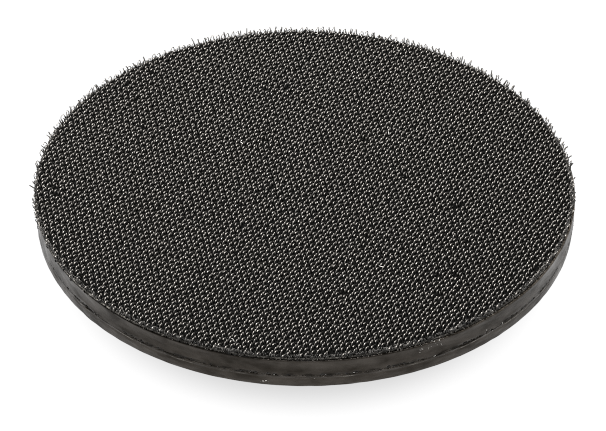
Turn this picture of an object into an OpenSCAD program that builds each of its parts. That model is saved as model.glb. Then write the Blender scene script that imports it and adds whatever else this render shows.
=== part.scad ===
// Hook-and-loop backing pad for a 6 in random orbital sander, hook face up.
// Millimetres, +Z up. The origin is the centre of the hub's seat, and the stud points down.

/* [Pad] */
// Diameter of the pad, the size of the abrasive disc that it takes
pad_d = 152.4; // [140:0.1:156]
// Height of the firm lower layer
base_h = 4; // [3.9:0.1:6]
// Height of the soft upper layer
cushion_h = 5; // [3:0.1:10]
// Radius of the pad lost between the top and the bottom of the lower layer
base_taper = 0.2; // [0:0.05:1]

/* [Hook face] */
// Thickness of the woven ground that carries the hooks
fabric_t = 0.5; // [0.3:0.05:0.8]
// Height of the hooks above the ground
pile_h = 1.8; // [1.2:0.1:2.4]
// Thickness of the glue between the ground and the foam
adhesive_t = 0.2; // [0.1:0.05:0.4]
// Thickness of the glue between the two layers
bond_t = 0.2; // [0.1:0.05:0.4]

/* [Backing plate] */
// Diameter of the glass-fibre plate
plate_d = 127; // [110:1:135]
// Thickness of the glass-fibre plate
plate_t = 1.6; // [1.2:0.1:1.8]
// Number of holes that key the lower layer to the plate
key_count = 12; // [6:1:18]
// Diameter of those holes
key_d = 6; // [4:0.5:8]
// Diameter of the circle that they lie on
key_pcd = 104; // [80:1:106]

/* [Hub] */
// Diameter of the hub's flange
flange_d = 46; // [44:1:60]
// Thickness of the hub's flange
flange_t = 1.8; // [1.2:0.1:3]
// Diameter of the raised seat that meets the sander's spindle
seat_d = 22; // [20:0.5:24]
// Height of that seat above the flange
seat_h = 1.6; // [1.5:0.1:3]
// Thickness of the steel ring over the plate
clamp_t = 1.2; // [0.8:0.1:1.3]

/* [Stud] */
// Major diameter of the 5/16 in - 24 thread
thread_d = 7.9375; // [6:0.0005:8]
// Length of the stud below the seat
thread_l = 12.7; // [8:0.1:20]
// Diameter of the shank pressed into the hub
shank_d = 9.6; // [9:0.1:12]
// Diameter of the stud's flat head
head_d = 20; // [16:0.5:22]
// Thickness of the stud's flat head
head_t = 1.5; // [1:0.1:1.6]

/* [Rivets] */
// Number of rivets
rivet_count = 6; // [4:1:8]
// Diameter of the circle that they lie on
rivet_pcd = 33; // [32:0.5:35]
// Diameter of a rivet's shank
rivet_d = 4; // [3:0.1:4.2]
// Diameter of a rivet's domed head
rivet_head_d = 7.4; // [6:0.1:8]
// Height of a rivet's domed head
rivet_head_h = 1.2; // [0.8:0.1:1.4]

/* [Hidden] */
$fn = 144;

// Gap left between pieces that touch on a curved face
gap = 0.05;
// Rounding of the foam's and the lower layer's outer edges
foam_round = 0.3;
base_round = 0.5;
// Bevels on the steel pieces and at the stud's tip
steel_bevel = 0.3;
tip_bevel = 1;
// Clinched end of a rivet: its diameter, its height and the hollow in it
tail_d = 6.2;
tail_h = 0.7;
tail_hollow_d = 2.4;
tail_hollow_h = 1;

// Heights of the faces between the pieces, from the hub's seat upwards
plate_z = seat_h + flange_t;
clamp_z = plate_z + plate_t;
bond_z = plate_z + base_h;
cushion_z = bond_z + bond_t;
adhesive_z = cushion_z + cushion_h;
fabric_z = adhesive_z + adhesive_t;
pile_z = fabric_z + fabric_t;

// Points of an arc about [x, y], from angle a0 to angle a1
function arc(x, y, r, a0, a1, steps = 6) =
    [for (i = [0 : steps]) let (a = a0 + (a1 - a0) * i / steps) [x + r * cos(a), y + r * sin(a)]];

// Disc with both outer edges bevelled
module bevelled_disc(r, h, bevel) {
    rotate_extrude()
        polygon([
            [0, 0], [r - bevel, 0], [r, bevel],
            [r, h - bevel], [r - bevel, h], [0, h]
        ]);
}

// Cylinders spaced evenly on a circle
module ring_of(count, circle_d, d, h) {
    for (i = [0 : count - 1])
        rotate(i * 360 / count)
            translate([circle_d / 2, 0, 0])
                cylinder(d = d, h = h);
}

// Space that the hooks fill, as one soft disc
module hook_pile() {
    color("#2b2a29")
        translate([0, 0, pile_z])
            cylinder(d = pad_d, h = pile_h);
}

// Woven ground under the hooks
module hook_fabric() {
    color("#3a3836")
        translate([0, 0, fabric_z])
            cylinder(d = pad_d, h = fabric_t);
}

// Glue film between the ground and the foam, a thin light line at the edge
module hook_adhesive() {
    color("#6e6b64")
        translate([0, 0, adhesive_z])
            cylinder(d = pad_d - 2 * gap, h = adhesive_t);
}

// Soft upper layer with a smooth moulded skin
module cushion_foam() {
    r = pad_d / 2;
    color("#403d39")
        translate([0, 0, cushion_z])
            rotate_extrude()
                polygon(concat(
                    [[0, 0]],
                    arc(r - foam_round, foam_round, foam_round, -90, 0),
                    arc(r - foam_round, cushion_h - foam_round, foam_round, 0, 90),
                    [[0, cushion_h]]
                ));
}

// Glue between the two layers, set back from the side
module bond_film() {
    color("#1c1b1a")
        translate([0, 0, bond_z])
            cylinder(d = pad_d - 2 * foam_round - 1, h = bond_t);
}

// Firm lower layer, moulded round the plate and over the ring, the rivets and the stud's head
module base_layer() {
    top_r = pad_d / 2 - 0.1;
    low_r = top_r - base_taper;
    color("#34322f")
        union() {
            difference() {
                translate([0, 0, plate_z])
                    rotate_extrude()
                        polygon(concat(
                            [[0, 0]],
                            arc(low_r - base_round, base_round, base_round, -90, 0),
                            [[top_r, base_h], [0, base_h]]
                        ));
                translate([0, 0, plate_z - 1])
                    cylinder(d = plate_d + 2 * gap, h = plate_t + 1);
                translate([0, 0, clamp_z - 1])
                    cylinder(d = flange_d + 2 * gap, h = clamp_t + gap + 1);
                translate([0, 0, clamp_z - 1])
                    cylinder(d = head_d + 2 * gap, h = head_t + gap + 1);
                translate([0, 0, clamp_z])
                    ring_of(rivet_count, rivet_pcd, tail_d + 2 * gap, clamp_t + tail_h + gap);
            }
            translate([0, 0, plate_z])
                ring_of(key_count, key_pcd, key_d - 2 * gap, plate_t + clamp_t);
        }
}

// Stiff glass-fibre disc in the underside of the lower layer
module backing_plate() {
    color("#8a7a4e")
        translate([0, 0, plate_z])
            difference() {
                cylinder(d = plate_d, h = plate_t);
                translate([0, 0, -1])
                    cylinder(d = shank_d + 2 * gap, h = plate_t + 2);
                translate([0, 0, -1])
                    ring_of(rivet_count, rivet_pcd, rivet_d + 2 * gap, plate_t + 2);
                translate([0, 0, -1])
                    ring_of(key_count, key_pcd, key_d, plate_t + 2);
            }
}

// Steel hub: a flange under the plate, and a raised seat for the sander's spindle
module hub_flange() {
    color("silver")
        difference() {
            union() {
                translate([0, 0, seat_h])
                    bevelled_disc(flange_d / 2, flange_t, steel_bevel);
                bevelled_disc(seat_d / 2, seat_h + flange_t / 2, steel_bevel);
            }
            translate([0, 0, -1])
                cylinder(d = shank_d + 2 * gap, h = seat_h + flange_t + 2);
            translate([0, 0, -1])
                ring_of(rivet_count, rivet_pcd, rivet_d + 2 * gap, seat_h + flange_t + 2);
        }
}

// Steel ring over the plate, which the rivets close on
module clamp_plate() {
    color("gray")
        translate([0, 0, clamp_z])
            difference() {
                bevelled_disc(flange_d / 2, clamp_t, steel_bevel);
                translate([0, 0, -1])
                    cylinder(d = head_d + 2 * gap, h = clamp_t + 2);
                translate([0, 0, -1])
                    ring_of(rivet_count, rivet_pcd, rivet_d + 2 * gap, clamp_t + 2);
            }
}

// Stud: thread below the seat, shank through hub and plate, flat head over the plate
module threaded_stud() {
    thread_r = thread_d / 2;
    color("silver")
        rotate_extrude()
            polygon([
                [0, -thread_l],
                [thread_r - tip_bevel, -thread_l],
                [thread_r, tip_bevel - thread_l],
                [thread_r, 0],
                [shank_d / 2, 0],
                [shank_d / 2, clamp_z],
                [head_d / 2, clamp_z],
                [head_d / 2, clamp_z + head_t],
                [0, clamp_z + head_t]
            ]);
}

// One rivet: domed head below the flange, shank, and a clinched hollow end on the ring
module rivet() {
    head_r = rivet_head_d / 2;
    dome_r = (head_r * head_r + rivet_head_h * rivet_head_h) / (2 * rivet_head_h);
    dome_a = asin(head_r / dome_r);
    tail_z = clamp_z + clamp_t;
    rotate_extrude()
        polygon(concat(
            arc(0, seat_h - rivet_head_h + dome_r, dome_r, -90, dome_a - 90, 8),
            [
                [rivet_d / 2, seat_h],
                [rivet_d / 2, tail_z],
                [tail_d / 2, tail_z],
                [tail_d / 2 - tail_h / 2, tail_z + tail_h],
                [tail_hollow_d / 2, tail_z + tail_h],
                [tail_hollow_d / 2, tail_z + tail_h - tail_hollow_h],
                [0, tail_z + tail_h - tail_hollow_h]
            ]
        ));
}

// Rivets through hub, plate and ring
module flange_rivets() {
    color("lightgray")
        for (i = [0 : rivet_count - 1])
            rotate(i * 360 / rivet_count)
                translate([rivet_pcd / 2, 0, 0])
                    rivet();
}

hook_pile();
hook_fabric();
hook_adhesive();
cushion_foam();
bond_film();
base_layer();
backing_plate();
hub_flange();
clamp_plate();
threaded_stud();
flange_rivets();
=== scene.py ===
import math

import bmesh
import bpy
import numpy as np
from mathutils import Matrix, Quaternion, Vector


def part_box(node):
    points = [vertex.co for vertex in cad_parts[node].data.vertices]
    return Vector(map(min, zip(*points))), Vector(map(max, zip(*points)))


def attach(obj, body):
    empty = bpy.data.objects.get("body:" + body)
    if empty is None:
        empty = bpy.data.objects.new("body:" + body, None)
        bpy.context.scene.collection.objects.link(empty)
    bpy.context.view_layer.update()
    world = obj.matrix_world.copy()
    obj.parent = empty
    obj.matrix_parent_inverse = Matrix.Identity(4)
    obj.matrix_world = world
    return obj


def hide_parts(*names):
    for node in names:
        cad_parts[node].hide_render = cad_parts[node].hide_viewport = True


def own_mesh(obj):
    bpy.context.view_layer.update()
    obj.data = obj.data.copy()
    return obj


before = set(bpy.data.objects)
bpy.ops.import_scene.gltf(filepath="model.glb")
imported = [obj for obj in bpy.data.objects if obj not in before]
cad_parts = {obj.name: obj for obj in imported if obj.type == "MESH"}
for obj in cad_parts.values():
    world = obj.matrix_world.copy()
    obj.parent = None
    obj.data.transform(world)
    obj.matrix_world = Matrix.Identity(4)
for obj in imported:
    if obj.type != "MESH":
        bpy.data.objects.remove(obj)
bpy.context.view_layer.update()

MM = 0.001
TURN = 2 * math.pi


# ---------------------------------------------------------------- sizes, from the frame

def low_z(node):
    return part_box(node)[0].z


def high_z(node):
    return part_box(node)[1].z


def radius_of(node):
    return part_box(node)[1].x


PAD_R = radius_of("cushion_foam")
GROUND_Z = high_z("hook_fabric")
PILE_H = high_z("hook_pile") - GROUND_Z
FLOOR_Z = low_z("threaded_stud")
UP = np.array([0.0, 0.0, 1.0])

# Weave of the hook tape: hooks stand in rows, and every second row is staggered and faces the other way
ROW_ANGLE = math.radians(-30)
HOOK_PITCH = 2.07 * MM
ROW_PAIR_PITCH = 2.44 * MM
FILAMENT_R = 0.13 * MM
LOOP_HALF_W = 0.85 * MM
ROOT_DEPTH = 0.12 * MM
HOOK_PIECES = 6

# A hook's crown carries a painted highlight over this much of its arch. The highlight is this many degrees
# off the top, towards the same side of the pad, -Y, in both kinds of row
HIGHLIGHT_WIDTH = math.radians(9)
HIGHLIGHT_OFF_TOP = 18

# The tape was cut a little smaller than the foam and stuck on slightly off its centre
TAPE_R = PAD_R - 0.25 * MM
TAPE_CENTRE = np.array([-0.35 * MM, 0.0, 0.0])
# Near the edge, over this width, the hooks lean out, are opened by the cut, or are missing
RIM_WIDTH = 1.8 * MM


# ---------------------------------------------------------------- camera

def make_camera():
    """Looks along +Y and down at the hook face."""
    elevation = math.radians(37.85)
    distance = 0.9
    aim = Vector((-0.0006, -0.0017, low_z("base_layer")))
    lens_px = 3168.8
    image_w_px = 606
    roll = math.radians(0.093)
    camera = bpy.data.objects.new("camera", bpy.data.cameras.new("camera"))
    bpy.context.scene.collection.objects.link(camera)
    camera.data.sensor_width = 36
    camera.data.lens = lens_px / image_w_px * camera.data.sensor_width
    forward = Vector((0, math.cos(elevation), -math.sin(elevation)))
    camera.location = aim - forward * distance
    camera.rotation_mode = "QUATERNION"
    camera.rotation_quaternion = forward.to_track_quat("-Z", "Y") @ Quaternion((0, 0, 1), roll)
    camera.data.clip_start = 0.01
    camera.data.clip_end = 50
    bpy.context.scene.camera = camera


make_camera()


# ---------------------------------------------------------------- materials

def new_material(name, roughness, specular=0.5, metallic=0.0, coat=0.0, coat_roughness=0.1):
    """A principled material. Returns it and its shader node."""
    m = bpy.data.materials.new(name)
    m.use_nodes = True
    shader = m.node_tree.nodes["Principled BSDF"]
    shader.inputs["Roughness"].default_value = roughness
    shader.inputs["Specular IOR Level"].default_value = specular
    shader.inputs["Metallic"].default_value = metallic
    shader.inputs["Coat Weight"].default_value = coat
    shader.inputs["Coat Roughness"].default_value = coat_roughness
    return m, shader


def add_node(m, kind, **settings):
    """Adds a node. A setting is a property of the node, or the value of the input of that name."""
    n = m.node_tree.nodes.new(kind)
    for key, value in settings.items():
        if hasattr(n, key) and key not in n.inputs:
            setattr(n, key, value)
        else:
            n.inputs[key.replace("_", " ")].default_value = value
    return n


def link(m, source, target):
    """Joins an output socket to an input socket."""
    m.node_tree.links.new(source, target)


def place(m, turn=0.0, stretch=(1, 1, 1)):
    """Object coordinates, turned about Z and stretched."""
    coordinates = add_node(m, "ShaderNodeTexCoord")
    mapping = add_node(m, "ShaderNodeMapping")
    mapping.inputs["Rotation"].default_value = (0, 0, turn)
    mapping.inputs["Scale"].default_value = stretch
    link(m, coordinates.outputs["Object"], mapping.inputs["Vector"])
    return mapping.outputs["Vector"]


def from_axis(m):
    """Distance from the pad's axis."""
    flat = add_node(m, "ShaderNodeVectorMath", operation="MULTIPLY")
    flat.inputs[1].default_value = (1, 1, 0)
    link(m, place(m), flat.inputs[0])
    length = add_node(m, "ShaderNodeVectorMath", operation="LENGTH")
    link(m, flat.outputs["Vector"], length.inputs[0])
    return length.outputs["Value"]


def axis_value(m, axis):
    """The X, Y or Z coordinate, in metres."""
    axes = add_node(m, "ShaderNodeSeparateXYZ")
    link(m, place(m), axes.inputs["Vector"])
    return axes.outputs[axis]


def noise(m, vector, scale, detail=3.0):
    """Cloudy noise between 0 and 1, mostly near 0.5."""
    n = add_node(m, "ShaderNodeTexNoise", Scale=scale, Detail=detail, Roughness=0.55)
    link(m, vector, n.inputs["Vector"])
    return n.outputs["Fac"]


def ramp(m, value, stops):
    """A colour ramp with (position, (r, g, b)) stops."""
    n = add_node(m, "ShaderNodeValToRGB")
    elements = n.color_ramp.elements
    while len(elements) < len(stops):
        elements.new(0.5)
    for element, (position, colour) in zip(elements, stops):
        element.position = position
        element.color = (*colour, 1)
    link(m, value, n.inputs["Fac"])
    return n.outputs["Color"]


def spread(m, value, low, high, from_low=0.0, from_high=1.0, soft=False):
    """Maps a value that runs from from_low to from_high onto low to high."""
    n = add_node(m, "ShaderNodeMapRange", interpolation_type="SMOOTHSTEP" if soft else "LINEAR")
    n.inputs["From Min"].default_value = from_low
    n.inputs["From Max"].default_value = from_high
    n.inputs["To Min"].default_value = low
    n.inputs["To Max"].default_value = high
    link(m, value, n.inputs["Value"])
    return n.outputs["Result"]


def maths(m, operation, a, b=None):
    """One maths node on numbers or sockets."""
    n = add_node(m, "ShaderNodeMath", operation=operation)
    for i, value in enumerate((a, b)):
        if value is None:
            continue
        if isinstance(value, (int, float)):
            n.inputs[i].default_value = value
        else:
            link(m, value, n.inputs[i])
    return n.outputs[0]


def wave(m, vector, scale, direction, distortion):
    """Parallel bands across X or Y."""
    n = add_node(m, "ShaderNodeTexWave", wave_type="BANDS", bands_direction=direction)
    n.inputs["Scale"].default_value = scale
    n.inputs["Distortion"].default_value = distortion
    link(m, vector, n.inputs["Vector"])
    return n.outputs["Fac"]


def mix_colour(m, factor, a, b):
    """a where the factor is 0, b where it's 1. Each is a colour or a socket."""
    n = add_node(m, "ShaderNodeMix", data_type="RGBA")
    link(m, factor, n.inputs["Factor"])
    for name, value in (("A", a), ("B", b)):
        target = next(i for i in n.inputs if i.name == name and i.type == "RGBA")
        if isinstance(value, tuple):
            target.default_value = (*value, 1)
        else:
            link(m, value, target)
    return next(o for o in n.outputs if o.type == "RGBA")


def bump(m, shader, height, distance, strength=1.0):
    """Bumps the surface by a height from 0 to 1, as if it were distance deep."""
    n = add_node(m, "ShaderNodeBump", Strength=strength, Distance=distance)
    link(m, height, n.inputs["Height"])
    link(m, n.outputs["Normal"], shader.inputs["Normal"])


def hook_nylon():
    """Black nylon with painted shade, darker and duller towards the roots, and painted highlights on the
    crowns and cut ends.
    """
    m, shader = new_material("hook_nylon", 0.4)
    height = spread(m, axis_value(m, "Z"), 0, 1, GROUND_Z, GROUND_Z + PILE_H)
    # Painted shade: nearly black at the roots, where the pile shades them, and lighter at the shoulders
    # than at the crowns.
    roots, shoulders, crowns = (0.0004, 0.0004, 0.0003), (0.05, 0.0473, 0.0435), (0.02, 0.0189, 0.0174)
    body = ramp(m, height, [(0.3, roots), (0.68, shoulders), (0.97, crowns)])
    # Painted highlights: pale on the crowns and on the tall stubs' cut ends, broken up by the tone noise.
    highlight_spots = add_node(m, "ShaderNodeAttribute", attribute_name="painted_highlight")
    tone = noise(m, place(m), 700, detail=2)
    painted_highlight = maths(m, "MULTIPLY", highlight_spots.outputs["Fac"], spread(m, tone, 0.6, 1.15, 0.3, 0.7))
    link(m, mix_colour(m, painted_highlight, body, (0.34, 0.316, 0.286)), shader.inputs["Base Color"])
    # Painted shade on the shine as well: none at the roots, more towards the crowns.
    link(m, spread(m, height, 0, 0.25, 0.5, 0.95), shader.inputs["Specular IOR Level"])
    link(m, spread(m, tone, 0.34, 0.48, 0.3, 0.7), shader.inputs["Roughness"])
    return m


def ground_fabric():
    """Fine plain weave along and across the rows of hooks, painted nearly black as shade under the hooks.
    The cut edge shows the paler ends of the yarns, with painted light making them palest on the left."""
    m, shader = new_material("ground_fabric", 0.9, specular=0.02)
    here = place(m, turn=-ROW_ANGLE)
    bands = 820
    along = wave(m, here, bands, "X", 0.6)
    across = wave(m, here, bands, "Y", 0.6)
    height = maths(m, "MAXIMUM", along, across)
    tone = noise(m, here, 900, detail=4)
    # Painted shade: the weave is nearly black, as if it lay in the hooks' shade.
    colour = mix_colour(m, height, (0.0005, 0.0005, 0.0004), (0.0015, 0.0014, 0.0013))
    colour = mix_colour(m, tone, colour, (0.0008, 0.0008, 0.0007))
    rim = spread(m, from_axis(m), 0, 1, TAPE_R - 0.3 * MM, TAPE_R - 0.05 * MM)
    patchy = maths(m, "MULTIPLY", rim, spread(m, noise(m, here, 300), 0.25, 1.0, 0.4, 0.6))
    # Painted light: the pale yarn ends are strongest on the left.
    painted_light_left = spread(m, axis_value(m, "X"), 1.0, 0.22, -0.95 * TAPE_R, -0.4 * TAPE_R)
    patchy = maths(m, "MULTIPLY", patchy, painted_light_left)
    link(m, mix_colour(m, patchy, colour, (0.16, 0.15, 0.134)), shader.inputs["Base Color"])
    bump(m, shader, height, 0.12 * MM, 0.8)
    return m


def cut_nylon():
    """The same black nylon where it's only cut, with no painted highlights."""
    m, shader = new_material("cut_nylon", 0.45, specular=0.25)
    tone = noise(m, place(m), 400)
    colour = ramp(m, tone, [(0.35, (0.004, 0.0038, 0.0035)), (0.65, (0.035, 0.033, 0.03))])
    link(m, colour, shader.inputs["Base Color"])
    return m


def yarn_ends():
    """Frayed yarn of the ground, greyer than the hooks."""
    m, shader = new_material("yarn_ends", 0.7, specular=0.3)
    tone = noise(m, place(m), 500)
    colour = ramp(m, tone, [(0.35, (0.03, 0.028, 0.025)), (0.65, (0.1, 0.094, 0.084))])
    link(m, colour, shader.inputs["Base Color"])
    return m


def glue_film():
    """Dark contact glue, drawn out along the edge."""
    m, shader = new_material("glue_film", 0.6, specular=0.2)
    here = place(m, stretch=(1, 1, 4))
    tone = noise(m, here, 260, detail=4)
    colour = ramp(m, tone, [(0.35, (0.001, 0.001, 0.0009)), (0.7, (0.01, 0.0095, 0.0085))])
    link(m, colour, shader.inputs["Base Color"])
    bump(m, shader, tone, 0.1 * MM, 0.6)
    return m


def seam_and_tape_shade(m, torn, lumps, broken):
    """How much painted shade darkens the foam, from 0 to 1: in the torn lips, in patches along the seam,
    and under the tape's edge everywhere but on the right."""
    height = axis_value(m, "Z")
    torn_lip_shade = maths(m, "MULTIPLY", maths(m, "MAXIMUM", torn, 0.0), broken)
    off_seam = maths(m, "ABSOLUTE", maths(m, "SUBTRACT", height, low_z("cushion_foam")))
    at_seam = spread(m, off_seam, 1, 0, 0.3 * MM, 0.9 * MM)
    seam_shade = maths(m, "MULTIPLY", at_seam, spread(m, lumps, 0, 0.85, 0.46, 0.58))
    top = high_z("cushion_foam")
    at_tape = spread(m, height, 0, 0.85, top - 0.4 * MM, top - 0.2 * MM)
    not_right = spread(m, axis_value(m, "X"), 1, 0, 0.35 * PAD_R, 0.7 * PAD_R)
    tape_edge_shade = maths(m, "MULTIPLY", at_tape, not_right)
    return maths(m, "MAXIMUM", maths(m, "MAXIMUM", torn_lip_shade, seam_shade), tape_edge_shade)


def moulded(name, dark, light, gloss, roughness, bump_depth):
    """Moulded urethane with a skin: smears along the side, fine pores, patchy gloss, painted shade along
    the seam and under the tape's edge, and a painted highlight on the flash. The torn attribute is above
    zero where the seam's lips are torn, and below zero on the flash ridge."""
    m, shader = new_material(name, 0.45)
    shader.inputs["Specular Tint"].default_value = (1.0, 0.9, 0.82, 1)
    smears = noise(m, place(m, stretch=(1, 1, 2.2)), 130, detail=5)
    pores = noise(m, place(m), 1500, detail=2)
    patches = noise(m, place(m), 90, detail=4)
    torn = add_node(m, "ShaderNodeAttribute", attribute_name="torn").outputs["Fac"]
    lumps = noise(m, place(m, stretch=(1, 1, 2)), 420, detail=4)
    broken = spread(m, lumps, 0.3, 1.0, 0.4, 0.6)
    # Painted shade: the torn lips, patches along the seam and the tape's edge are darkened.
    painted_shade = seam_and_tape_shade(m, torn, lumps, broken)
    # Painted highlight: the flash ridge is coloured pale.
    pale = maths(m, "MULTIPLY", maths(m, "MULTIPLY", torn, -1.0), broken)
    colour = ramp(m, smears, [(0.35, dark), (0.65, light)])
    colour = mix_colour(m, painted_shade, colour, (0.003, 0.0026, 0.002))
    link(m, mix_colour(m, pale, colour, (0.22, 0.207, 0.188)), shader.inputs["Base Color"])
    # The painted shade dulls the shine too.
    shine = spread(m, smears, gloss[0], gloss[1], 0.35, 0.65)
    link(m, maths(m, "MULTIPLY", shine, spread(m, painted_shade, 1.0, 0.25)), shader.inputs["Specular IOR Level"])
    link(m, spread(m, patches, roughness[0], roughness[1], 0.35, 0.65), shader.inputs["Roughness"])
    surface = maths(m, "ADD", smears, maths(m, "MULTIPLY", pores, 0.2))
    bump(m, shader, surface, bump_depth, 0.7)
    return m


def soft_foam():
    """The upper layer: smoother, with a softer shine."""
    dark, light = (0.011, 0.0092, 0.007), (0.02, 0.017, 0.0135)
    gloss, roughness = (0.1, 0.34), (0.26, 0.46)
    return moulded("soft_foam", dark, light, gloss, roughness, bump_depth=0.13 * MM)


def firm_urethane():
    """The lower layer: a little coarser."""
    dark, light = (0.012, 0.0101, 0.0078), (0.022, 0.0188, 0.015)
    gloss, roughness = (0.13, 0.36), (0.26, 0.5)
    return moulded("firm_urethane", dark, light, gloss, roughness, bump_depth=0.16 * MM)


def seam_glue():
    """Lumpy dark glue."""
    m, shader = new_material("seam_glue", 0.6, specular=0.3)
    lumps = noise(m, place(m), 700, detail=4)
    colour = ramp(m, lumps, [(0.3, (0.006, 0.0055, 0.005)), (0.75, (0.024, 0.0215, 0.0185))])
    link(m, colour, shader.inputs["Base Color"])
    bump(m, shader, lumps, 0.2 * MM)
    return m


def glass_fibre():
    """Woven glass cloth under amber resin."""
    m, shader = new_material("glass_fibre", 0.35, specular=0.5, coat=0.5, coat_roughness=0.2)
    here = place(m)
    warp = wave(m, here, 75, "X", 0.8)
    weft = wave(m, here, 75, "Y", 0.8)
    cloth = maths(m, "MAXIMUM", warp, weft)
    stain = noise(m, here, 30, detail=5)
    resin = ramp(m, stain, [(0.3, (0.16, 0.12, 0.045)), (0.7, (0.3, 0.24, 0.11))])
    link(m, mix_colour(m, cloth, resin, (0.46, 0.4, 0.24)), shader.inputs["Base Color"])
    link(m, spread(m, stain, 0.25, 0.5, 0.3, 0.7), shader.inputs["Roughness"])
    bump(m, shader, cloth, 0.08 * MM, 0.6)
    return m


def steel(name, colour, roughness, rings=True):
    """Plated steel. Turned faces carry fine rings about the axis, and pressed ones only a fine grain."""
    m, shader = new_material(name, roughness, metallic=1.0)
    here = place(m)
    stains = noise(m, here, 160, detail=5)
    dark = tuple(c * 0.72 for c in colour)
    link(m, ramp(m, stains, [(0.35, dark), (0.65, colour)]), shader.inputs["Base Color"])
    link(m, spread(m, stains, roughness + 0.15, roughness, 0.3, 0.7), shader.inputs["Roughness"])
    if rings:
        n = add_node(m, "ShaderNodeTexWave", wave_type="RINGS", rings_direction="Z")
        n.inputs["Scale"].default_value = 900
        n.inputs["Distortion"].default_value = 0.4
        link(m, here, n.inputs["Vector"])
        bump(m, shader, n.outputs["Fac"], 0.02 * MM, 0.5)
    else:
        bump(m, shader, noise(m, here, 2500, detail=3), 0.02 * MM, 0.5)
    return m


def lint():
    """Pale dust and lint."""
    m, shader = new_material("lint", 0.8, specular=0.2)
    tone = noise(m, place(m), 200)
    colour = ramp(m, tone, [(0.3, (0.3, 0.29, 0.27)), (0.7, (0.7, 0.68, 0.64))])
    link(m, colour, shader.inputs["Base Color"])
    return m


MATERIALS = {
    "hook_nylon": hook_nylon(),
    "ground_fabric": ground_fabric(),
    "glue_film": glue_film(),
    "soft_foam": soft_foam(),
    "seam_glue": seam_glue(),
    "firm_urethane": firm_urethane(),
    "glass_fibre": glass_fibre(),
    "plated_steel": steel("plated_steel", (0.66, 0.66, 0.63), 0.28),
    "plain_steel": steel("plain_steel", (0.42, 0.42, 0.43), 0.4, rings=False),
    "rivet_steel": steel("rivet_steel", (0.6, 0.59, 0.55), 0.3, rings=False),
    "lint": lint(),
    "cut_nylon": cut_nylon(),
    "yarn_ends": yarn_ends(),
}


# ---------------------------------------------------------------- mesh helpers

def smooth(mesh):
    mesh.polygons.foreach_set("use_smooth", np.ones(len(mesh.polygons), bool))


def mesh_object(name, points, faces, material):
    """A smooth mesh object from an array of points and a list of arrays of faces, in metres."""
    mesh = bpy.data.meshes.new(name)
    starts, corners = [], []
    total = 0
    for group in faces:
        count, size = group.shape
        starts.append(total + size * np.arange(count))
        corners.append(group.ravel())
        total += count * size
    corners = np.concatenate(corners)
    starts = np.concatenate(starts)
    mesh.vertices.add(len(points))
    mesh.vertices.foreach_set("co", np.asarray(points, np.float32).ravel())
    mesh.loops.add(len(corners))
    mesh.loops.foreach_set("vertex_index", corners.astype(np.int32))
    mesh.polygons.add(len(starts))
    mesh.polygons.foreach_set("loop_start", starts.astype(np.int32))
    mesh.update(calc_edges=True)
    mesh.validate()
    smooth(mesh)
    mesh.materials.append(MATERIALS[material])
    piece = bpy.data.objects.new(name, mesh)
    bpy.context.scene.collection.objects.link(piece)
    return piece


def tubes(paths, radii, sides):
    """Round tubes along many paths at once. paths is (tube, ring, xyz), and radii (tube, ring).
    Returns the points, the walls, and the flat caps that close the two ends."""
    count, rings, _ = paths.shape
    tangent = np.gradient(paths, axis=1)
    tangent /= np.linalg.norm(tangent, axis=2, keepdims=True) + 1e-12
    # One sideways direction for the whole tube: across its plane
    chord = np.cross(tangent[:, 0], tangent[:, rings // 2])
    flat = np.linalg.norm(chord, axis=1) < 1e-3
    chord[flat] = np.cross(tangent[flat, 0], np.array([0.31, 0.95, 0.05]))
    chord /= np.linalg.norm(chord, axis=1, keepdims=True)
    side = chord[:, None, :] - (tangent * chord[:, None, :]).sum(2, keepdims=True) * tangent
    side /= np.linalg.norm(side, axis=2, keepdims=True) + 1e-12
    out = np.cross(tangent, side)
    angle = (TURN * np.arange(sides) / sides)[None, None, :, None]
    around = np.cos(angle) * side[:, :, None, :] + np.sin(angle) * out[:, :, None, :]
    points = paths[:, :, None, :] + radii[:, :, None, None] * around
    first = np.arange(count)[:, None, None] * rings * sides
    ring = np.arange(rings - 1)[None, :, None] * sides
    k = np.arange(sides)[None, None, :]
    after = (k + 1) % sides
    walls = np.stack(
        [first + ring + k, first + ring + after, first + ring + sides + after, first + ring + sides + k], -1
    ).reshape(-1, 4)
    caps_low = (first[:, :, 0] + np.arange(sides)[None, ::-1]).reshape(-1, sides)
    caps_high = (first[:, :, 0] + (rings - 1) * sides + np.arange(sides)[None, :]).reshape(-1, sides)
    return points.reshape(-1, 3), walls, caps_low, caps_high


def tube_object(name, batches, material):
    """One object from several batches of tubes: (paths, radii, sides, painted_highlight), with a highlight
    strength per (tube, ring).
    """
    points, faces, painted_highlight, offset = [], [], [], 0
    for paths, radii, sides, highlit in batches:
        p, walls, low, high = tubes(paths, radii, sides)
        points.append(p)
        painted_highlight.append(np.repeat(highlit.ravel(), sides))
        faces += [walls + offset, low + offset, high + offset]
        offset += len(p)
    piece = mesh_object(name, np.concatenate(points), faces, material)
    highlight_spots = piece.data.attributes.new("painted_highlight", "FLOAT", "POINT")
    highlight_spots.data.foreach_set("value", np.concatenate(painted_highlight).astype(np.float32))
    return piece


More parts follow.
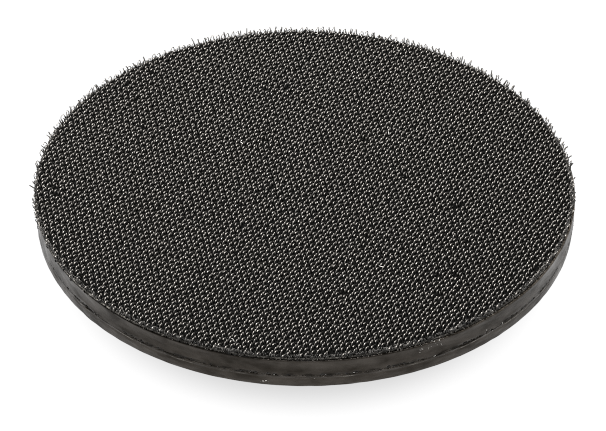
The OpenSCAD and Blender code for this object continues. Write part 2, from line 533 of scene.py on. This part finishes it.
def lathe(name, profile, segments, material, shape=None):
    """A closed solid of revolution about Z. profile is a list of (radius, z), from the axis to the axis.
    shape(angle, radius, z) may move the points: it returns the new radius and z, and how torn each is."""
    inner = np.array(profile[1:-1], float)
    angle = TURN * np.arange(segments) / segments
    a = np.repeat(angle[None, :], len(inner), 0)
    r = np.repeat(inner[:, :1], segments, 1)
    z = np.repeat(inner[:, 1:], segments, 1)
    torn = np.zeros(r.shape)
    if shape:
        r, z, torn = shape(a, r, z)
    points = np.stack([r * np.cos(a), r * np.sin(a), z], -1).reshape(-1, 3)
    ends = np.array([[0, 0, profile[0][1]], [0, 0, profile[-1][1]]])
    k = np.arange(segments)
    after = (k + 1) % segments
    row = np.arange(len(inner) - 1)[:, None] * segments
    walls = np.stack([row + k, row + after, row + segments + after, row + segments + k], -1).reshape(-1, 4)
    last = (len(inner) - 1) * segments
    base, tip = len(points), len(points) + 1
    fan_low = np.stack([np.full(segments, base), after, k], -1)
    fan_high = np.stack([np.full(segments, tip), last + k, last + after], -1)
    piece = mesh_object(name, np.concatenate([points, ends]), [walls, fan_low, fan_high], material)
    values = np.concatenate([(torn + np.zeros(r.shape)).ravel(), [0, 0]]).astype(np.float32)
    piece.data.attributes.new("torn", "FLOAT", "POINT").data.foreach_set("value", values)
    return piece


def wobble(rng, low, high, count=24):
    """A smooth random function of the angle round the pad, between about -1 and 1, with low to high waves
    in a turn. Its second argument shifts the waves against each other, so that it changes with height."""
    waves = rng.integers(low, high, count)
    phases = rng.uniform(0, TURN, count)
    sizes = rng.normal(0, 1, count)
    sizes /= np.sqrt((sizes**2).sum() / 2) * 1.6

    def value(a, z=0.0):
        parts = enumerate(zip(waves, phases, sizes))
        return sum(size * np.sin(turns * a + phase + 1.7 * i * z) for i, (turns, phase, size) in parts)

    return value


def near(distance, width):
    """1 at no distance, falling smoothly to nothing beyond the width."""
    return np.exp(-((distance / width) ** 2))


def past(value, start, end=1.0):
    """0 up to the start, rising to 1 at the end."""
    return np.clip((value - start) / (end - start), 0, 1)


def unit(vectors):
    """The same directions, each with length 1."""
    return vectors / np.linalg.norm(vectors, axis=1, keepdims=True)


# ---------------------------------------------------------------- hooks

def hook_places(rng):
    """Centre, direction and row of every hook on the tape."""
    along = np.array([math.cos(ROW_ANGLE), math.sin(ROW_ANGLE)])
    across = np.array([-math.sin(ROW_ANGLE), math.cos(ROW_ANGLE)])
    n_along = int(PAD_R / HOOK_PITCH) + 2
    n_across = int(2 * PAD_R / ROW_PAIR_PITCH) + 2
    i, j = np.meshgrid(np.arange(-n_along, n_along + 1), np.arange(-n_across, n_across + 1), indexing="ij")
    i, j = i.ravel(), j.ravel()
    odd = j % 2
    u = (i + 0.5 * odd) * HOOK_PITCH
    v = j * ROW_PAIR_PITCH / 2 + (odd - 0.5) * 0.14 * MM
    # The weave isn't perfect: rows wander slowly, and each hook a little
    u = u + 0.12 * MM * np.sin(v / (11 * MM)) + rng.normal(0, 0.05 * MM, len(u))
    v = v + 0.10 * MM * np.sin(u / (17 * MM) + 1) + rng.normal(0, 0.05 * MM, len(u))
    spots = u[:, None] * along + v[:, None] * across
    facing = np.where(odd == 1, 1.0, -1.0)
    keep = np.linalg.norm(spots, axis=1) < TAPE_R + 0.1 * MM
    return spots[keep], facing[keep], j[keep]


def arch_points(height, half_w, facing, cut):
    """A hook in its own plane: distances along it and heights of its leg and its arch, and how strong the
    arch's painted highlight is. The arch has more points round the highlight, so that it keeps its shape."""
    highlight_at = np.radians(90 + HIGHLIGHT_OFF_TOP * facing)[:, None]
    near_highlight = highlight_at + np.radians([18, 8, 0, -8, -16])
    start = np.full(highlight_at.shape, math.pi)
    bend = np.concatenate([start, (start + near_highlight[:, :1]) / 2, near_highlight, cut[:, None]], 1)
    arch_h = 0.95 * half_w
    top = height - arch_h - FILAMENT_R
    arch_s = half_w[:, None] * np.cos(bend)
    arch_z = top[:, None] + arch_h[:, None] * np.sin(bend)
    leg_s = np.stack([-half_w * 0.8, -half_w * 0.95], -1)
    leg_z = np.stack([np.full(len(top), -ROOT_DEPTH), top * 0.5], -1)
    s = np.concatenate([leg_s, arch_s], 1)
    z = np.concatenate([leg_z, arch_z], 1)
    return s, z, near(bend - highlight_at, HIGHLIGHT_WIDTH)


def hook_paths(rng, spots, facing):
    """Centrelines of the hooks and of the stubs left where their loops were cut.
    A loop is two legs and an arch. It's cut where the arch starts to come down, so one leg keeps the hook
    and the other is left as a stub, tall in the rows whose hooks point towards +Y."""
    n = len(spots)
    radius = np.linalg.norm(spots, axis=1)
    outward = spots / radius[:, None]
    rim = past(radius, TAPE_R - RIM_WIDTH, TAPE_R)
    height = PILE_H * rng.normal(0.95, 0.03, n)
    half_w = LOOP_HALF_W * rng.normal(1, 0.05, n)
    far_cut = facing > 0
    cut = np.radians(np.where(far_cut, rng.uniform(50, 66, n), rng.uniform(30, 50, n)))
    opened = rng.random(n) < 0.03 + 0.35 * rim
    cut = np.where(opened, np.radians(rng.uniform(60, 84, n)), cut)
    s, z, highlight_share = arch_points(height, half_w, facing, cut)
    stub_h = PILE_H * np.where(far_cut, rng.normal(0.87, 0.04, n), rng.normal(0.42, 0.05, n))
    splay = rng.uniform(-0.12, 0.12, n)
    stub_s = np.stack([half_w * 0.85, half_w * 1.0, half_w * (0.9 + splay)], -1)
    stub_z = np.stack([np.full(n, -ROOT_DEPTH), stub_h * 0.5, stub_h], -1)
    yaw = ROW_ANGLE + math.radians(91) + rng.normal(0, 0.09, n)
    heading = np.stack([np.cos(yaw), np.sin(yaw)], -1) * facing[:, None]
    lean = rng.normal(0, 0.05, (n, 2)) + outward * (rng.uniform(0.0, 0.45, n) * rim)[:, None]

    def stand(along, up):
        """From the loop's own plane to the pad's frame, leaning more the higher the point."""
        rise = np.maximum(up, 0)
        flat = spots[:, None, :] + heading[:, None, :] * along[:, :, None]
        flat = flat + lean[:, None, :] * rise[:, :, None]
        drop = 0.5 * (lean**2).sum(1)[:, None] * rise
        return np.concatenate([flat, (GROUND_Z + up - drop)[:, :, None]], 2) + TAPE_CENTRE

    # Painted highlights: on each arch near its top, and on the cut ends of the tall stubs.
    highlight_strength = (rng.uniform(0.55, 1.05, n) * np.where(far_cut, 0.8, 1.0))[:, None]
    no_highlight_leg = np.zeros((n, 2))
    painted_highlight = np.concatenate([no_highlight_leg, highlight_strength * highlight_share], 1)
    stub_highlight = np.concatenate([no_highlight_leg, (far_cut * rng.uniform(0.2, 0.55, n))[:, None]], 1)
    return (stand(s, z), painted_highlight), (stand(stub_s, stub_z), stub_highlight), rim


def make_hooks():
    """All hooks and stubs, joined by rows into a few pieces. A few hooks have broken off at the stub."""
    rng = np.random.default_rng(7)
    spots, facing, rows = hook_places(rng)
    hooks, stubs, rim = hook_paths(rng, spots, facing)
    missing = rng.random(len(spots)) < 0.004 + 0.06 * rim
    order = np.argsort(rows, kind="stable")
    for number, chosen in enumerate(np.array_split(order, HOOK_PIECES)):
        whole = chosen[~missing[chosen]]
        batches = []
        for (paths, painted_highlight), part in ((hooks, whole), (stubs, chosen)):
            batches.append((paths[part], np.full(painted_highlight[part].shape, FILAMENT_R), 5, painted_highlight[part]))
        piece = tube_object(f"hook_rows_{number + 1}", batches, "hook_nylon")
        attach(piece, "face")
        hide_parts("hook_pile")


make_hooks()


# ---------------------------------------------------------------- woven ground and its glue

def make_ground():
    """The woven ground, die-cut with a slightly ragged edge."""
    rng = np.random.default_rng(11)
    ragged = wobble(rng, 150, 520, 40)
    slow = wobble(rng, 3, 20, 12)
    low, high = low_z("hook_fabric"), GROUND_Z
    edge = 0.12 * MM
    rings = [0.5 * TAPE_R, 0.9 * TAPE_R, 0.985 * TAPE_R, TAPE_R - edge]
    profile = [(0, low)] + [(r, low) for r in rings]
    profile += [(TAPE_R, low + edge), (TAPE_R, (low + high) / 2), (TAPE_R, high - edge)]
    profile += [(r, high) for r in reversed(rings)] + [(0, high)]

    def fray(a, r, z):
        rim = past(r / TAPE_R, 0.98)
        return r + rim * MM * (0.1 * ragged(a, z * 900) + 0.07 * slow(a)), z, 0

    piece = lathe("woven_ground", profile, 1440, "ground_fabric", fray)
    piece.location = TAPE_CENTRE
    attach(piece, "face")
    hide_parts("hook_fabric")


def film_profile(radius, low, high, bevel, inner):
    """A thin disc with a bevelled edge. Each face has a ring of points at the inner share of the radius."""
    middle = (low + high) / 2
    below = [(0, low), (inner * radius, low), (radius - bevel, low)]
    above = [(radius - bevel, high), (inner * radius, high), (0, high)]
    return below + [(radius, middle)] + above


def make_glue():
    """Glue film. It stops a little short of the tape's edge, and is squeezed out here and there."""
    rng = np.random.default_rng(13)
    slow, fast = wobble(rng, 4, 30, 16), wobble(rng, 120, 420, 30)
    low, high = low_z("hook_adhesive"), high_z("hook_adhesive")
    film_r = TAPE_R - 0.22 * MM

    def squeeze(a, r, z):
        rim = past(r / film_r, 0.985)
        return r + rim * MM * (0.14 * slow(a) + 0.1 * fast(a)), z, 0

    profile = film_profile(film_r, low, high, 0.05 * MM, 0.98)
    piece = lathe("glue_line", profile, 1440, "glue_film", squeeze)
    piece.location = TAPE_CENTRE
    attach(piece, "face")
    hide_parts("hook_adhesive")


make_ground()
make_glue()


# ---------------------------------------------------------------- foam layers and the seam between them

# The seam's course round the pad, shared by the two layers and the glue
seam_rng = np.random.default_rng(23)
SEAM_GAP = wobble(seam_rng, 8, 70, 30)
SEAM_TEETH = wobble(seam_rng, 90, 330, 40)
SEAM_NICKS = wobble(seam_rng, 300, 700, 40)
SEAM_DRIFT = wobble(seam_rng, 2, 14, 12)
SEAM_RIDGE = wobble(seam_rng, 4, 40, 20)
FLASH_AT = math.radians(-35)


def tear(a, more):
    """How far the seam is torn open at each angle, from 0, closed, to 1."""
    return np.clip(0.5 * SEAM_GAP(a) + 0.5 * SEAM_TEETH(a) + 0.35 * SEAM_NICKS(a) + more, 0, 1)


def flash(a):
    """How much flash stands out of the seam at each angle. There's most on the right."""
    return np.clip(1.6 * SEAM_RIDGE(a) - 0.45 + np.exp(12 * (np.cos(a - FLASH_AT) - 1)), 0, 1)


def make_cushion():
    """The soft upper layer: a smooth skin, slightly drawn in at half height, with a torn lower lip."""
    low, high = low_z("cushion_foam"), high_z("cushion_foam")
    tall = high - low
    edge = 0.3 * MM
    swell = wobble(np.random.default_rng(29), 3, 18, 12)
    dents = wobble(np.random.default_rng(31), 20, 90, 24)
    lip_heights = [0.0, 0.06, 0.12, 0.2, 0.3, 0.42, 0.56, 0.72, 0.9, 1.2, 1.6]
    other_heights = np.linspace(2.1, tall / MM - 0.3, 9)
    profile = [(0, low), (0.9 * PAD_R, low), (PAD_R - 0.9 * MM, low), (PAD_R - 0.25 * MM, low)]
    profile += [(PAD_R, low + (0.04 + h) * MM) for h in lip_heights]
    profile += [(PAD_R, low + h * MM) for h in other_heights]
    profile += [(PAD_R - 0.09 * MM, high - 0.09 * MM), (PAD_R - edge, high)]
    profile += [(0.98 * PAD_R, high), (0.9 * PAD_R, high), (0, high)]

    def shape(a, r, z):
        side = past(r / PAD_R, 0.99)
        up = (z - low) / MM
        waist = -0.16 * np.sin(math.pi * past(z, low, high))
        uneven = 0.05 * swell(a) + 0.03 * dents(a, z * 300)
        opened = tear(a, -0.1)
        lip = near(up, 0.45)
        fold = 0.1 * near(up - 0.9, 0.3) * past(SEAM_RIDGE(a), 0)
        r = r + side * MM * (waist + uneven - 0.35 * lip * opened + fold)
        z = z + side * MM * lip * (0.45 * opened + 0.08 * SEAM_DRIFT(a))
        # The torn attribute marks the torn lower lip, where painted shade darkens the foam.
        return r, z, side * near(up, 0.32) * past(opened * 3, 0)

    piece = lathe("foam_cushion", profile, 1800, "soft_foam", shape)
    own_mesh(piece)
    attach(piece, "backing")
    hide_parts("cushion_foam")


def make_bond():
    """Dark glue between the layers, with a ragged edge that comes to the surface in places."""
    rng = np.random.default_rng(37)
    blobs = wobble(rng, 60, 400, 40)
    low, high = low_z("bond_film"), high_z("bond_film")
    film_r = PAD_R - 0.27 * MM

    def ooze(a, r, z):
        rim = past(r / film_r, 0.98)
        return r + rim * MM * (0.2 * blobs(a) + 0.1 * past(SEAM_RIDGE(a), 0)), z, 0

    profile = film_profile(film_r, low, high, 0.1 * MM, 0.97)
    piece = lathe("seam_glue_line", profile, 1440, "seam_glue", ooze)
    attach(piece, "backing")
    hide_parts("bond_film")


def make_base():
    """The firm lower layer: it tapers in, with a torn upper lip, a thin ridge of flash, and underneath a
    recess for the plate."""
    low, high = low_z("base_layer"), high_z("base_layer")
    top_r = radius_of("base_layer")
    low_r = top_r - 0.2 * MM
    plate_r = radius_of("backing_plate") + 0.05 * MM
    plate_top = high_z("backing_plate")
    swell = wobble(np.random.default_rng(41), 3, 16, 12)
    dents = wobble(np.random.default_rng(43), 25, 120, 24)
    round_r = 0.5 * MM
    profile = [(0, plate_top), (plate_r, plate_top), (plate_r, low)]
    profile += [(plate_r + 0.3 * MM, low), (0.95 * low_r, low)]
    profile += [
        (low_r - round_r + round_r * math.cos(b), low + round_r + round_r * math.sin(b))
        for b in np.radians(np.linspace(-90, 0, 6))
    ]
    heights = [0.9, 1.3, 1.7, 2.1, 2.45, 2.7, 2.9, 3.05, 3.18]
    heights += [3.3, 3.41, 3.52, 3.62, 3.71, 3.79, 3.87, 3.94]
    slope = (top_r - low_r) / (high - low)
    profile += [(low_r + slope * h * MM, low + h * MM) for h in heights]
    profile += [(top_r - 0.25 * MM, high), (top_r - 0.9 * MM, high), (0.9 * top_r, high), (0, high)]

    def shape(a, r, z):
        side = past(r / top_r, 0.985)
        down = (high - z) / MM
        uneven = 0.05 * swell(a) + 0.05 * dents(a, z * 400)
        opened = tear(a, -0.2)
        lip = near(down, 0.3)
        ridge = 0.24 * near(down - 0.66 - 0.12 * SEAM_DRIFT(a), 0.1) * flash(a)
        hollow = 0.16 * near(down - 1.05 - 0.2 * SEAM_DRIFT(a), 0.35)
        r = r + side * MM * (uneven - 0.3 * lip * opened + ridge - hollow)
        z = z - side * MM * lip * 0.3 * opened
        # The torn attribute marks the torn upper lip, for painted shade, and below zero the flash ridge,
        # for a painted highlight.
        return r, z, side * (near(down, 0.26) * past(opened * 3, 0) - past(ridge * 5, 0))

    piece = lathe("urethane_base", profile, 1800, "firm_urethane", shape)
    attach(piece, "backing")
    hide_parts("base_layer")


make_cushion()
make_bond()
make_base()


# ---------------------------------------------------------------- CAD pieces that stay, and the stud

def finish_cad_pieces():
    """The plate and the steel pieces keep their CAD shapes and get their materials."""
    finishes = {
        "backing_plate": "glass_fibre",
        "hub_flange": "plated_steel",
        "clamp_plate": "plain_steel",
        "flange_rivets": "rivet_steel",
    }
    for node, finish in finishes.items():
        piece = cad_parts[node]
        piece.data.materials.clear()
        piece.data.materials.append(MATERIALS[finish])


def thread_points(segments, steps):
    """Rows of points that climb one pitch a turn on a 5/16 in thread, with 24 turns to the inch.
    The tip is bevelled, and the thread runs out at the hub's seat."""
    pitch = 25.4 / 24 * MM
    depth = 0.6134 * pitch
    major = 7.9375 / 2 * MM
    tip_bevel = 1.0 * MM
    turns = int(math.ceil(-FLOOR_Z / pitch)) + 2
    run = np.arange(turns * steps + 1)[:, None] / steps
    angle = TURN * np.arange(segments + 1) / segments
    z = FLOOR_Z - pitch + (run + angle / TURN) * pitch
    flank = np.clip(np.abs(run % 1.0 - 0.5) / 0.5 * 1.25 - 0.12, 0, 1)
    z = np.clip(z, FLOOR_Z, -0.02 * MM)
    r = np.minimum(major - depth * flank, major - tip_bevel + (z - FLOOR_Z))
    r = np.minimum(r, major - 0.5 * depth + 0.6 * np.abs(z))
    return np.stack([r * np.cos(angle), r * np.sin(angle), z], -1)


def close_mesh(mesh):
    """Welds the seam of a thread, drops its flattened faces and closes its two ends."""
    bm = bmesh.new()
    bm.from_mesh(mesh)
    bmesh.ops.remove_doubles(bm, verts=bm.verts, dist=0.004 * MM)
    bmesh.ops.dissolve_degenerate(bm, dist=0.002 * MM, edges=bm.edges)
    open_edges = [e for e in bm.edges if e.is_boundary]
    bmesh.ops.holes_fill(bm, edges=open_edges, sides=0)
    bmesh.ops.recalc_face_normals(bm, faces=bm.faces)
    bm.to_mesh(mesh)
    bm.free()
    smooth(mesh)


def make_thread():
    """The stud's real thread, cut along a helix."""
    points = thread_points(segments=72, steps=10)
    rows, count, _ = points.shape
    row = np.arange(rows - 1)[:, None] * count
    c = np.arange(count - 1)[None, :]
    walls = np.stack([row + c, row + c + 1, row + count + c + 1, row + count + c], -1).reshape(-1, 4)
    piece = mesh_object("stud_thread", points.reshape(-1, 3), [walls], "plated_steel")
    close_mesh(piece.data)
    return piece


def make_stud_head():
    """The stud's shank through the hub and the plate, and its flat head over the plate."""
    shoulder, top = low_z("clamp_plate"), high_z("threaded_stud")
    shank_r, head_r = 4.8 * MM, radius_of("threaded_stud")
    bevel = 0.15 * MM
    profile = [(0, 0), (shank_r - bevel, 0), (shank_r, bevel), (shank_r, shoulder)]
    profile += [(head_r - bevel, shoulder), (head_r, shoulder + bevel)]
    profile += [(head_r, top - bevel), (head_r - bevel, top), (0, top)]
    return lathe("stud_head", profile, 96, "plated_steel")


def make_stud():
    for piece in (make_thread(), make_stud_head()):
        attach(piece, "backing")
        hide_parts("threaded_stud")


finish_cad_pieces()
make_stud()


# ---------------------------------------------------------------- stray fibres and lint

def stray_fibres(name, rng, roots, directions, lengths, radius, material, body, curl=0.45):
    """Short bent fibres from given roots. radius is one number, or a column with one for each fibre."""
    n = len(roots)
    steps = np.linspace(0, 1, 4)[None, :, None]
    bend = rng.normal(0, curl, (n, 1, 3))
    curve = directions[:, None, :] * steps + bend * steps**2 * 0.6
    paths = roots[:, None, :] + lengths[:, None, None] * curve
    radii = np.full((n, 4), radius)
    piece = tube_object(name, [(paths, radii, 4, np.zeros((n, 4)))], material)
    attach(piece, body)
    return piece


def ring_roots(rng, n, radius, first=0.0, last=TURN):
    """n random places on a circle: the outward and the sideways directions, and the points."""
    a = rng.uniform(first, last, n)
    out = np.stack([np.cos(a), np.sin(a), np.zeros(n)], -1)
    along = np.stack([-np.sin(a), np.cos(a), np.zeros(n)], -1)
    return out, along, out * radius


def make_rim_bristles():
    """Loops that the die cut through: a thick row of short dark bristles all round the edge, and among them
    a few tall, thicker loose ones."""
    rng = np.random.default_rng(47)
    n = 3000
    out, along, roots = ring_roots(rng, n, TAPE_R)
    roots = roots - out * rng.uniform(0, 0.9, (n, 1)) * MM + TAPE_CENTRE
    roots[:, 2] = GROUND_Z - 0.1 * MM
    loose = rng.random(n) < 0.05
    tilt = np.radians(np.where(loose, rng.uniform(45, 85, n), rng.uniform(76, 100, n)))[:, None]
    directions = unit(out * np.cos(tilt) + UP * np.sin(tilt) + along * rng.normal(0, 0.16, (n, 1)))
    lengths = np.where(loose, rng.uniform(1.7, 2.4, n), rng.uniform(0.5, 1.1, n)) * MM
    radii = np.where(loose, 0.19, 0.14)[:, None] * MM
    piece = stray_fibres("rim_bristles", rng, roots, directions, lengths, radii, "cut_nylon", "face", 0.08)


def make_fray():
    """Yarn ends along the cut edge of the ground."""
    rng = np.random.default_rng(53)
    n = 700
    out, along, roots = ring_roots(rng, n, TAPE_R - 0.1 * MM)
    roots = roots + TAPE_CENTRE
    roots[:, 2] = rng.uniform(low_z("hook_fabric") + 0.05 * MM, GROUND_Z, n)
    directions = out * rng.uniform(0.3, 1, (n, 1)) + along * rng.normal(0, 0.5, (n, 1))
    directions[:, 2] = rng.normal(0.1, 0.3, n)
    directions = unit(directions)
    lengths = rng.uniform(0.2, 0.7, n) * MM
    piece = stray_fibres("ground_fray", rng, roots, directions, lengths, 0.04 * MM, "yarn_ends", "face")


def make_lint(rng):
    """A little pale lint caught in the hooks."""
    n = 18
    roots = ring_roots(rng, n, PAD_R)[-1] * np.sqrt(rng.random((n, 1))) * 0.97
    roots[:, 2] = GROUND_Z + PILE_H * rng.uniform(0.7, 0.95, n)
    directions = unit(rng.normal(0, 1, (n, 3)) * np.array([1, 1, 0.12]))
    lengths = rng.uniform(0.4, 1.1, n) * MM
    stray_fibres("lint_in_hooks", rng, roots, directions, lengths, 0.045 * MM, "lint", "face")


def make_dust(name, rng, n, between, height, spread_z, length, radius, body):
    """Crumbs and short fibres stuck to the side, between two angles in degrees."""
    first, last = np.radians(between)
    _, along, roots = ring_roots(rng, n, PAD_R - 0.14 * MM, first, last)
    roots[:, 2] = height + rng.normal(0, spread_z, n)
    directions = along + UP * rng.normal(0, 0.6, (n, 1))
    lengths = rng.exponential(length, n) + 0.05 * MM
    stray_fibres(name, rng, roots, directions, lengths, radius, "lint", body)


def make_dirt():
    """Lint in the hooks, crumbs along the seam, a tuft near the foam's top edge and specks on the base."""
    rng = np.random.default_rng(59)
    seam, foam_top, base_low = high_z("base_layer"), high_z("cushion_foam"), low_z("base_layer")
    make_lint(rng)
    make_dust(
        "dust_1", rng, n=130, between=(0, 360), height=seam - 0.1 * MM,
        spread_z=0.45 * MM, length=0.2 * MM, radius=0.05 * MM, body="backing",
    )
    make_dust(
        "dust_2", rng, n=40, between=(-67, -61), height=foam_top - 1.0 * MM,
        spread_z=0.6 * MM, length=0.25 * MM, radius=0.042 * MM, body="face",
    )
    make_dust(
        "dust_3", rng, n=7, between=(-99, -96.5), height=base_low + 1.6 * MM,
        spread_z=0.4 * MM, length=0.15 * MM, radius=0.13 * MM, body="backing",
    )


make_rim_bristles()
make_fray()
make_dirt()


# ---------------------------------------------------------------- floor and light

def make_floor():
    """A white floor that glows, so that it stays white. Under the pad the shadow is painted: the glow fades
    towards the axis. Left and right of the pad the glow is brighter, as painted light for the pad's sides."""
    half = 6
    mesh = bpy.data.meshes.new("floor")
    corners = [(x * half, y * half, FLOOR_Z) for x, y in ((-1, -1), (1, -1), (1, 1), (-1, 1))]
    mesh.from_pydata(corners, [], [(0, 1, 2, 3)])
    m, shader = new_material("floor", 0.9, specular=0.0)
    shader.inputs["Base Color"].default_value = (0.01, 0.01, 0.01, 1)
    shader.inputs["Emission Color"].default_value = (1, 1, 1, 1)
    out = from_axis(m)
    # Painted shadow under the pad, faded by distance from the axis.
    rim_shade = spread(m, out, 0.67, 1.02, 0.71 * PAD_R, 0.96 * PAD_R, soft=True)
    deep_shade = spread(m, out, 0.5, 1.0, 0.1 * PAD_R, 0.72 * PAD_R, soft=True)
    sideways = maths(m, "ABSOLUTE", axis_value(m, "X"))
    # Painted light: the floor glows brighter beyond the pad's left and right edges, for the sides to
    # reflect.
    painted_side_light = spread(m, sideways, 1.0, 1.5, PAD_R, 1.3 * PAD_R)
    glow = maths(m, "MULTIPLY", maths(m, "MULTIPLY", rim_shade, deep_shade), painted_side_light)
    link(m, glow, shader.inputs["Emission Strength"])
    mesh.materials.append(m)
    floor = bpy.data.objects.new("floor", mesh)
    bpy.context.scene.collection.objects.link(floor)


def area_light(name, spot, size, power):
    """A rectangular lamp that points at the origin."""
    data = bpy.data.lights.new(name, "AREA")
    data.shape = "RECTANGLE"
    data.size, data.size_y = size
    data.energy = power
    light = bpy.data.objects.new(name, data)
    bpy.context.scene.collection.objects.link(light)
    light.location = spot
    light.rotation_mode = "QUATERNION"
    light.rotation_quaternion = (Vector((0, 0, 0)) - Vector(spot)).to_track_quat("-Z", "Y")


def make_world():
    """A dim white studio. Behind the pad the camera sees plain white."""
    world = bpy.data.worlds.new("studio")
    bpy.context.scene.world = world
    world.use_nodes = True
    nodes, links = world.node_tree.nodes, world.node_tree.links
    background = nodes["Background"]
    background.inputs["Color"].default_value = (1, 1, 1, 1)
    ray = nodes.new("ShaderNodeLightPath")
    strength = nodes.new("ShaderNodeMapRange")
    strength.inputs["To Min"].default_value = 0.1
    strength.inputs["To Max"].default_value = 1.02
    links.new(ray.outputs["Is Camera Ray"], strength.inputs["Value"])
    links.new(strength.outputs["Result"], background.inputs["Strength"])


def make_light():
    """A lamp overhead and a weak fill in front."""
    make_world()
    area_light("key", (0.0, 0.15, 1.2), (0.35, 0.35), 100)
    area_light("fill", (0.0, -1.2, 0.9), (0.8, 0.5), 24)
    bpy.context.scene.cycles.use_denoising = False
    bpy.context.scene.cycles.filter_width = 1.1
    bpy.context.scene.view_settings.view_transform = "Standard"


make_floor()
make_light()
